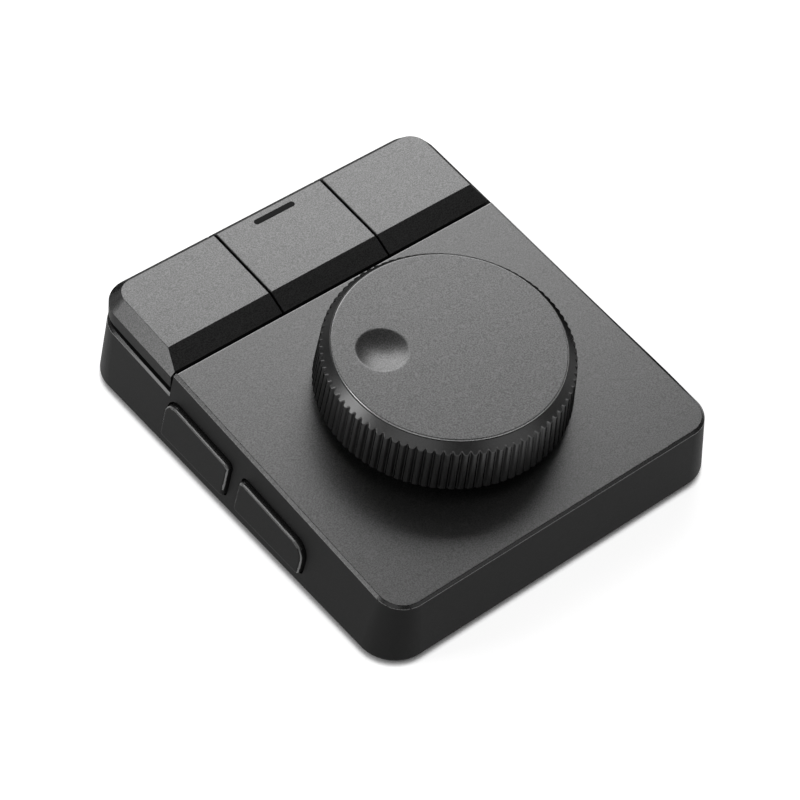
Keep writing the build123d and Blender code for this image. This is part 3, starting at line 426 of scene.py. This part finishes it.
# Grains finer than a pixel of the picture are drawn at about a pixel's size, so that they show.
FINISHES = {
    # Black case plastic moulded in a spark-eroded tool: satin, with a fine even tooth that breaks up reflections.
    "case": ("spark-textured moulded ABS", lambda name, tints: grained(
        name, tints.case, 0.3 * MM, 0.006 * MM, (0.5, 0.58), 0.06, IOR=1.5, **{"Specular IOR Level": 0.1})),
    # The same plastic where the tool is polished, along the rims and the buttons' edges: it catches light as thin
    # lines.
    "edge": ("polished moulded ABS", lambda name, tints: grained(
        name, tints.case, 0.5 * MM, 0.002 * MM, (0.24, 0.3), 0.04, IOR=1.5, **{"Specular IOR Level": 0.8})),
    # Its outermost rounding, painted lighter: a painted highlight that draws a fine bright line along the rims and
    # round the side buttons' faces.
    "line": ("burnished moulded ABS", lambda name, tints: grained(
        name, tints.line, 0.5 * MM, 0.002 * MM, (0.3, 0.36), 0.04, IOR=1.5, **{"Specular IOR Level": 1.0})),
    # Matt black plastic inside the dial, which swallows light. The same darker colour on the case's downward-facing
    # lower rounding is painted shade, a dark line along the foot of the case.
    "guard": ("matt moulded nylon", lambda name, tints: grained(
        name, tints.guard, 0.4 * MM, 0.02 * MM, (0.65, 0.8), IOR=1.53, **{"Specular IOR Level": 0.05})),
    # Aluminium sheet blasted with fine glass beads and anodised grey: a soft wide gloss with a fine sparkle.
    "plate": ("bead-blasted anodised aluminium plate", lambda name, tints: grained(
        name, tints.plate, 0.22 * MM, 0.01 * MM, (0.34, 0.4), 0.24, Metallic=1.0)),
    # The keys' tops, blasted alike and a little lighter. They go dark where light grazes them, as dyed oxide does.
    "keys": ("bead-blasted anodised aluminium keys", lambda name, tints: grained(
        name, tints.key, 0.22 * MM, 0.01 * MM, (0.34, 0.4), 0.3, Metallic=1.0,
        **{"Specular Tint": (0.02, 0.02, 0.02, 1.0)})),
    # The keys' bevels: a darker copy of the keys' anodised colour, painted shade that tones down the light they catch,
    # with the same fine sparkle.
    "bevel": ("milled anodised aluminium bevel", lambda name, tints: grained(
        name, tints.bevel, 0.22 * MM, 0.01 * MM, (0.34, 0.4), 0.3, Metallic=1.0,
        **{"Specular Tint": (0.02, 0.02, 0.02, 1.0)})),
    # The dial's disc, blasted like the keys: the same soft gloss, with a stronger sparkle than the plate's.
    "disc": ("bead-blasted anodised aluminium disc", lambda name, tints: grained(
        name, tints.disc, 0.22 * MM, 0.01 * MM, (0.34, 0.4), 0.3, Metallic=1.0)),
    # The same metal where its edge is cut after blasting: bright and smooth, it draws a thin line.
    "cut": ("edge-cut anodised aluminium", lambda name, tints: grained(
        name, tints.cut, 0.3 * MM, 0.002 * MM, (0.26, 0.32), 0.06, Metallic=1.0)),
    # Knurled aluminium, dyed darker: smoother, with bright crests on the ribs. The dyed oxide swallows light that
    # grazes it, so the edge tint is nearly black.
    "ring": ("knurled anodised aluminium", lambda name, tints: grained(
        name, tints.ring, 0.25 * MM, 0.004 * MM, (0.3, 0.36), 0.08, Metallic=1.0,
        **{"Specular Tint": (0.04, 0.04, 0.04, 1.0)})),
    # Smoked clear plastic, coated against glare: nearly black, with a low gloss.
    "lens": ("smoked polycarbonate", lambda name, tints: grained(
        name, tints.lens, 0.4 * MM, 0.002 * MM, (0.3, 0.36), 0.05, IOR=1.585, **{"Specular IOR Level": 0.08})),
    # Moulded rubber: dull, with a soft fine tooth.
    "rubber": ("moulded silicone rubber", lambda name, tints: grained(
        name, tints.rubber, 0.35 * MM, 0.02 * MM, (0.7, 0.85), 0.15, IOR=1.41)),
    # Zinc-plated steel: bright and slightly cloudy.
    "steel": ("zinc-plated steel", lambda name, tints: grained(
        name, tints.steel, 0.6 * MM, 0.004 * MM, (0.24, 0.36), 0.08, Metallic=1.0)),
    # Nickel-plated drawn steel: warm and bright.
    "nickel": ("nickel-plated drawn steel", lambda name, tints: grained(
        name, tints.nickel, 0.5 * MM, 0.003 * MM, (0.2, 0.3), 0.06, Metallic=1.0)),
    # Die-cast zinc: grey and slightly mottled.
    "zinc": ("die-cast zinc", lambda name, tints: grained(
        name, tints.zinc, 0.8 * MM, 0.01 * MM, (0.38, 0.5), 0.1, Metallic=1.0)),
    # Brass cut on a lathe: fine rings that fan the light.
    "brass": ("lathe-turned brass", lambda name, tints: lathe_turned(name, tints.brass, 0.15 * MM, (0.2, 0.3))),
    # Steel cut on a lathe: a cold bright shaft with fine rings.
    "turned_steel": ("lathe-turned steel", lambda name, tints: lathe_turned(
        name, tints.steel, 0.15 * MM, (0.18, 0.28))),
    # Circuit board: dark green under a clear gloss, with the glass cloth's weave faintly raised.
    "board": ("solder-masked glass board", lambda name, tints: circuit_board(name, tints.mask, 0.5 * MM)),
    # Glass-filled switch plastic: dull black with a fine fleck.
    "nylon": ("glass-filled nylon", lambda name, tints: grained(
        name, tints.nylon, 0.25 * MM, 0.006 * MM, (0.45, 0.6), 0.2, IOR=1.53)),
    # Acetal: waxy off-white.
    "acetal": ("moulded acetal", lambda name, tints: grained(
        name, tints.acetal, 0.5 * MM, 0.003 * MM, (0.35, 0.45), 0.03, IOR=1.48)),
}


class KEYPAD_OT_case(bpy.types.Operator):
    """Dress the case, its base and the cup inside the dial"""

    bl_idname = "keypad.case"
    bl_label = "Case"

    def execute(self, context):
        sizes = context.scene.keypad_sizes
        dress(finish_of("case"), "body_shell", "base_plate")
        shell = frame["nodes"]["body_shell"].data
        dress_faces(finish_of("edge"), shell, low=0.2, high=0.98, level=sizes.rim_level, upper=True)
        # Painted highlight: the rims' outer rounding takes a lighter colour than the case.
        dress_faces(finish_of("line"), shell, low=0.2, high=0.7, level=sizes.rim_level, upper=True)
        # Painted shade: the downward-facing rounding of the case's lower edge takes the darker colour of the dial's
        # cup.
        dress_faces(finish_of("guard"), shell, low=-0.97, high=-0.1, level=sizes.base_level, upper=False)
        dress(finish_of("guard"), "dial_guard")
        return {"FINISHED"}


class KEYPAD_OT_face_plate(bpy.types.Operator):
    """Dress the face plate"""

    bl_idname = "keypad.face_plate"
    bl_label = "Face plate"

    def execute(self, context):
        plate = frame["nodes"]["face_plate"].data
        under_plate = -2 * MM
        dress(finish_of("plate"), "face_plate")
        dress_faces(finish_of("cut"), plate, low=0.05, high=0.99, level=under_plate, upper=True)
        return {"FINISHED"}


class KEYPAD_OT_keys(bpy.types.Operator):
    """Dress the three keys and the indicator bar"""

    bl_idname = "keypad.keys"
    bl_label = "Keys"

    def execute(self, context):
        sizes = context.scene.keypad_sizes
        under_bevels = sizes.skirt_level - 3 * MM
        for node in ("key_left", "key_middle", "key_right"):
            dress(finish_of("keys"), node)
            key = frame["nodes"][node].data
            # Painted shade: the bevels take a darker copy of the keys' colour.
            dress_faces(finish_of("bevel"), key, low=0.3, high=0.97, level=under_bevels, upper=True)
            dress_faces(finish_of("case"), key, low=-1.1, high=0.3, level=sizes.skirt_level, upper=False)
        dress(finish_of("lens"), "indicator_lens")
        return {"FINISHED"}


class KEYPAD_OT_side_buttons(bpy.types.Operator):
    """Dress the two buttons in the left wall"""

    bl_idname = "keypad.side_buttons"
    bl_label = "Side buttons"

    def execute(self, context):
        sizes = context.scene.keypad_sizes
        for node in ("side_button_front", "side_button_rear"):
            dress(finish_of("case"), node)
            button = frame["nodes"][node].data
            dress_faces(finish_of("edge"), button, low=0.2, high=1.1, level=sizes.rim_level, upper=True)
            # Painted highlight: the rounded edges round each button's face take a lighter colour than the case.
            dress_faces(finish_of("line"), button, low=-0.84, high=-0.5, level=sizes.base_level, upper=True, axis=0)
        return {"FINISHED"}


class KEYPAD_OT_dial(bpy.types.Operator):
    """Make the dial's knurled ring and its disc with the finger dimple, and dress what holds them"""

    bl_idname = "keypad.dial"
    bl_label = "Dial"

    def execute(self, context):
        sizes = context.scene.keypad_sizes
        stands_for(skin("dial_ring_knurled", [self.ring(sizes)], dial_frame()), "dial_ring", finish_of("ring"))
        disc = skin("dial_disc_dimpled", [self.disc(sizes)], dial_frame())
        stands_for(disc, "dial_cap", finish_of("disc"))
        under_edge = DIAL_TOP - sizes.disc_edge
        dress_faces(finish_of("cut"), disc.data, low=0.05, high=0.86, level=under_edge, upper=True)
        dress(finish_of("brass"), "dial_hub")
        dress(finish_of("turned_steel"), "encoder_shaft")
        dress(finish_of("steel"), "dial_set_screw", "hub_screws")
        return {"FINISHED"}

    def ring(self, sizes):
        """Ring: a line in (r, z) turned round the axis. On its outside the radius is the lower of the line's own and
        the grooves' floor, which is the side's slanted line less the depth at each angle, a raised cosine to a power
        that narrows the groove to its share of the spacing. The bevel cuts the grooves off in scallops."""
        shoulder = DIAL_TOP - sizes.bevel_height
        seat = CAP_RADIUS + sizes.seam
        bore = sizes.shoulder_radius - sizes.wall
        under = CUP_BOTTOM - sizes.web
        corners = [
            (0, under), (bore, under), (bore, DIAL_BOTTOM), (RING_RADIUS, DIAL_BOTTOM),
            (sizes.shoulder_radius, shoulder), (seat, DIAL_TOP - sizes.disc_edge / 2), (seat, CUP_BOTTOM),
            (0, CUP_BOTTOM),
        ]
        # One rounding for each corner between the two ends.
        line = rounded(corners, [0.1 * MM, 0.2 * MM, 0.4 * MM, 0.1 * MM, 0.08 * MM, 0.05 * MM])
        # Rows lie close together only where the bevel cuts the grooves off.
        close, wide, scallops = 0.07 * MM, 8 * MM, shoulder - 0.2 * MM
        rows = [finer(pair, close if pair[:, 1].min() > scallops else wide) for pair in pairs_of(line)]
        line = np.vstack(rows + [line[-1:]])
        rib_steps = 12
        grid = turned(line, sizes.rib_count * rib_steps)
        t = np.arange(grid.shape[1]) / rib_steps
        slope = (sizes.shoulder_radius - RING_RADIUS) / (shoulder - DIAL_BOTTOM)
        power = np.log(0.5) / np.log(0.5 + 0.5 * cos(pi * sizes.groove_share))
        depth = sizes.groove_depth * (0.5 + 0.5 * np.cos(2 * pi * t)) ** power
        r, z = line[:, 0, None], line[:, 1, None]
        floor = RING_RADIUS + slope * (z - DIAL_BOTTOM) - depth
        outside = r > seat + 0.1 * MM
        blend = 0.02 * MM
        share = np.where(outside, lower_of(r, floor, blend) / np.maximum(r, MM), 1)
        grid[..., :2] *= share[..., None]
        return grid

    def disc(self, sizes):
        """Disc: rows from the dimple's middle outwards. Inside, each is a circle round the dimple, at the lower of the
        flat top and a ball's surface, and further out it slides over to the disc's own edge, which is rounded, and
        runs down the side and under to the middle."""
        columns = 240
        t = np.linspace(0, 2 * pi, columns, endpoint=False)
        round_about = np.stack([np.cos(t), np.sin(t)], axis=-1)
        middle = np.array([sizes.dimple_x, sizes.dimple_y])
        ball = (sizes.dimple_radius ** 2 + sizes.dimple_depth ** 2) / (2 * sizes.dimple_depth)
        flat_start = sizes.dimple_radius + 0.8 * MM
        rho = np.concatenate([np.linspace(0, 0.9, 16), np.linspace(0.92, 1.06, 12), [1.12]]) * sizes.dimple_radius
        bowl = DIAL_TOP - sizes.dimple_depth + ball - np.sqrt(ball ** 2 - rho ** 2)
        height = lower_of(bowl, np.full_like(bowl, DIAL_TOP), sizes.dimple_edge)
        height += DIAL_TOP - height.max()
        rows = middle + rho[:, None, None] * round_about
        dimple = np.concatenate([rows, np.broadcast_to(height[:, None, None], rows.shape[:2] + (1,))], axis=-1)
        slide = np.linspace(0, 1, 10)[1:-1, None, None]
        flat_edge = CAP_RADIUS - sizes.disc_edge - 0.05 * MM
        across = (1 - slide) * (middle + flat_start * round_about) + slide * flat_edge * round_about
        across = np.concatenate([across, np.full(across.shape[:2] + (1,), DIAL_TOP)], axis=-1)
        edge = rounded(
            [(flat_edge, DIAL_TOP), (CAP_RADIUS, DIAL_TOP), (CAP_RADIUS, CUP_BOTTOM), (0, CUP_BOTTOM)],
            [sizes.disc_edge, 0.05 * MM], guard=0.02 * MM,
        )
        return np.concatenate([dimple, across, turned(edge, columns)])


class KEYPAD_OT_feet(bpy.types.Operator):
    """Make the four rubber feet: pucks with a soft edge and a shallow dish"""

    bl_idname = "keypad.feet"
    bl_label = "Feet"

    def execute(self, context):
        sizes = context.scene.keypad_sizes
        dish_share, dish_slant, small, columns = 0.62, 0.3 * MM, 0.1 * MM, 72
        grids = []
        for middle, radius, low, high in solids_of("rubber_feet"):
            dish = radius * dish_share
            corners = [
                (0, low + sizes.foot_dish), (dish, low + sizes.foot_dish), (dish + dish_slant, low),
                (radius, low), (radius, high), (0, high),
            ]
            line = rounded(corners, [small, small, sizes.foot_edge, small])
            grids.append(turned(line, columns) + np.array([*middle, 0]))
        stands_for(skin("rubber_feet_dished", grids, Matrix()), "rubber_feet", finish_of("rubber"))
        return {"FINISHED"}


class KEYPAD_OT_screws(bpy.types.Operator):
    """Make the base screws with their cross recess and dress the other screws"""

    bl_idname = "keypad.screws"
    bl_label = "Screws"

    def execute(self, context):
        sizes = context.scene.keypad_sizes
        grids = [self.screw(sizes, *solid) for solid in solids_of("base_screws")]
        stands_for(skin("base_screws_crossed", grids, Matrix()), "base_screws", finish_of("steel"))
        dress(finish_of("steel"), "board_screws")
        return {"FINISHED"}

    def screw(self, sizes, middle, radius, low, high):
        """Screw from below: a flat round head, a shank above it. In the head's face each point is as deep as the cross:
        full depth where it lies within half the width of one arm's line and half the span along it, with soft sides."""
        head_height, head_radius, shank_radius = 1.1 * MM, 2.2, 1.2
        rows, columns = 26, 96
        head = low + head_height
        shank = radius * shank_radius / head_radius
        face = np.linspace(0, radius - 0.3 * MM, rows)
        grid = turned(np.stack([face, np.full_like(face, low)], axis=-1), columns)
        x, y = np.abs(grid[..., 0]), np.abs(grid[..., 1])
        near, far = np.minimum(x, y), np.maximum(x, y)
        soft = 0.08 * MM / 3
        inside = 1 / (1 + np.exp((near - sizes.cross_width / 2) / soft))
        inside = inside / (1 + np.exp((far - sizes.cross_span / 2) / soft))
        grid[..., 2] += sizes.cross_depth * inside
        line = rounded(
            [(radius - 0.25 * MM, low), (radius, low), (radius, head), (shank, head), (shank, high), (0, high)],
            [0.2 * MM, 0.05 * MM, 0.1 * MM, 0.2 * MM],
        )
        return np.concatenate([grid, turned(line, columns)]) + np.array([*middle, 0])


class KEYPAD_OT_inlet(bpy.types.Operator):
    """Dress the inlet in the back wall"""

    bl_idname = "keypad.inlet"
    bl_label = "Inlet"

    def execute(self, context):
        dress(finish_of("nickel"), "usb_socket")
        return {"FINISHED"}


class KEYPAD_OT_inside(bpy.types.Operator):
    """Dress the board, the encoder and the switches inside"""

    bl_idname = "keypad.inside"
    bl_label = "Inside"

    def execute(self, context):
        keys = ("left", "middle", "right")
        ends = ("front", "rear")
        dress(finish_of("board"), "main_board")
        dress(finish_of("zinc"), "encoder_housing")
        dress(finish_of("steel"), "encoder_washer", "encoder_nut")
        dress(finish_of("nylon"), "controller_chip")
        dress(finish_of("nylon"), *[f"key_switch_{key}" for key in keys], *[f"side_switch_{end}" for end in ends])
        dress(finish_of("acetal"), "push_plunger", "indicator_led")
        dress(finish_of("acetal"), *[f"key_plunger_{key}" for key in keys], *[f"side_plunger_{end}" for end in ends])
        return {"FINISHED"}


# Each softbox: its name, the property with its power, its turn from the back towards the right and its height over the
# floor, both in degrees, and its width and height in metres.
LAMPS = (
    ("softbox_back", "back_lamp", 32, 30, (0.60, 0.64)),
    ("softbox_left", "left_lamp", -66, 27, (0.20, 0.30)),
    ("softbox_near", "near_lamp", -120, 38, (0.40, 0.36)),
    ("softbox_front", "front_lamp", 165, 28, (0.40, 0.26)),
)
LAMP_DISTANCE = 0.6


class KEYPAD_OT_stage(bpy.types.Operator):
    """Make the floor, the lamps, the room's light and the camera"""

    bl_idname = "keypad.stage"
    bl_label = "Stage"

    def execute(self, context):
        stage = context.scene.keypad_stage
        context.scene.view_settings.view_transform = "Standard"
        self.floor(context, stage)
        self.room(context, stage)
        for name, power, turn, height, size in LAMPS:
            self.lamp(context, name, getattr(stage, power), turn, height, size)
        self.camera(context, stage)
        return {"FINISHED"}

    def seen(self, tree):
        """One for rays from the camera, from gloss and through clear pieces, else zero."""
        path = add(tree, "ShaderNodeLightPath", {})
        gloss = add(tree, "ShaderNodeMath", {
            0: path.outputs["Is Camera Ray"], 1: path.outputs["Is Glossy Ray"],
        }, operation="MAXIMUM")
        return add(tree, "ShaderNodeMath", {
            0: gloss.outputs[0], 1: path.outputs["Is Transmission Ray"],
        }, operation="MAXIMUM").outputs[0]

    def floor(self, context, stage):
        """Wide flat floor: painted white, with a share of its white that needs no lamp, so that shadows stay soft. That
        share goes where the keypad closely covers the floor, which leaves a dark line under its edge."""
        tree, material = new_tree("matt white paint")
        tint = (*context.scene.keypad_colours.floor, 1.0)
        # The glow is gone where 40 % of the sky is closely covered, as under the keypad's edge, and full where 15 % is.
        cover = add(tree, "ShaderNodeAmbientOcclusion", {"Distance": stage.contact}, samples=8)
        clear = add(tree, "ShaderNodeMapRange", {
            "Value": cover.outputs["AO"], "From Min": 0.6, "From Max": 0.85, "To Max": stage.glow,
        })
        glow = add(tree, "ShaderNodeMath", {0: self.seen(tree), 1: clear.outputs["Result"]}, operation="MULTIPLY")
        paint = add(tree, "ShaderNodeBsdfDiffuse", {"Color": tint})
        light = add(tree, "ShaderNodeEmission", {"Strength": glow.outputs[0]})
        both = add(tree, "ShaderNodeAddShader", {0: paint.outputs[0], 1: light.outputs[0]})
        add(tree, "ShaderNodeOutputMaterial", {"Surface": both.outputs[0]})
        reach = 40.0
        mesh = bpy.data.meshes.new("floor")
        corners = [(-reach, -reach, 0), (reach, -reach, 0), (reach, reach, 0), (-reach, reach, 0)]
        mesh.from_pydata(corners, [], [(0, 1, 2, 3)])
        mesh.materials.append(material)
        floor = bpy.data.objects.new("floor", mesh)
        context.scene.collection.objects.link(floor)

    def room(self, context, stage):
        """Dim even room."""
        world = bpy.data.worlds.new("studio room")
        context.scene.world = world
        world.use_nodes = True
        tree = world.node_tree
        tree.nodes.clear()
        sky = add(tree, "ShaderNodeBackground", {"Color": (1, 1, 1, 1), "Strength": stage.fill})
        add(tree, "ShaderNodeOutputWorld", {"Surface": sky.outputs[0]})

    def lamp(self, context, name, power, turn, height, size):
        """Flat soft lamp, aimed at the keypad's middle, turned by degrees from the back towards the right and raised by
        degrees over the floor."""
        across, up = radians(turn), radians(height)
        place = LAMP_DISTANCE * Vector((sin(across) * cos(up), cos(across) * cos(up), sin(up)))
        lamp = bpy.data.lights.new(name, "AREA")
        lamp.shape = "RECTANGLE"
        lamp.size, lamp.size_y = size
        lamp.energy = power
        holder = bpy.data.objects.new(name, lamp)
        holder.location = place
        holder.rotation_euler = (-place).to_track_quat("-Z", "Y").to_euler()
        context.scene.collection.objects.link(holder)

    def camera(self, context, stage):
        """Camera at its distance from the aimed point, turned by azimuth and elevation and then about its own axis."""
        a, e = stage.azimuth, stage.elevation
        back = Vector((sin(a) * cos(e), -cos(a) * cos(e), sin(e)))
        right = Vector((cos(a), sin(a), 0))
        up = back.cross(right)
        across = cos(stage.roll) * right + sin(stage.roll) * up
        turn = Matrix((across, back.cross(across), back)).transposed().to_4x4()
        lens = bpy.data.cameras.new("camera")
        lens.lens = stage.lens
        lens.clip_start = 0.01
        camera = bpy.data.objects.new("camera", lens)
        camera.matrix_world = dial_frame() @ Matrix.Translation(Vector(stage.aim) + back * stage.distance) @ turn
        context.scene.collection.objects.link(camera)
        context.scene.camera = camera


class KEYPAD_PT_panel(bpy.types.Panel):
    """Lists the keypad's pieces, sizes and colours."""

    bl_idname = "KEYPAD_PT_panel"
    bl_label = "Keypad"
    bl_space_type = "VIEW_3D"
    bl_region_type = "UI"
    bl_category = "Keypad"

    def draw(self, context):
        for operator in OPERATORS:
            self.layout.operator(operator.bl_idname)
        for group in (context.scene.keypad_sizes, context.scene.keypad_colours, context.scene.keypad_stage):
            box = self.layout.box()
            for name in group.__annotations__:
                box.prop(group, name)


GROUPS = (KeypadSizes, KeypadColours, KeypadStage)
OPERATORS = (
    KEYPAD_OT_case, KEYPAD_OT_face_plate, KEYPAD_OT_keys, KEYPAD_OT_side_buttons, KEYPAD_OT_dial, KEYPAD_OT_feet,
    KEYPAD_OT_screws, KEYPAD_OT_inlet, KEYPAD_OT_inside, KEYPAD_OT_stage,
)


def register():
    for item in (*GROUPS, *OPERATORS, KEYPAD_PT_panel):
        bpy.utils.register_class(item)
    bpy.types.Scene.keypad_sizes = PointerProperty(type=KeypadSizes)
    bpy.types.Scene.keypad_colours = PointerProperty(type=KeypadColours)
    bpy.types.Scene.keypad_stage = PointerProperty(type=KeypadStage)


def unregister():
    del bpy.types.Scene.keypad_stage, bpy.types.Scene.keypad_colours, bpy.types.Scene.keypad_sizes
    for item in reversed((*GROUPS, *OPERATORS, KEYPAD_PT_panel)):
        bpy.utils.unregister_class(item)


def main():
    """Makes every piece and the stage."""
    register()
    for operator in OPERATORS:
        family, name = operator.bl_idname.split(".")
        getattr(getattr(bpy.ops, family), name)()
    bpy.context.view_layer.update()


if __name__ == "__main__":
    main()
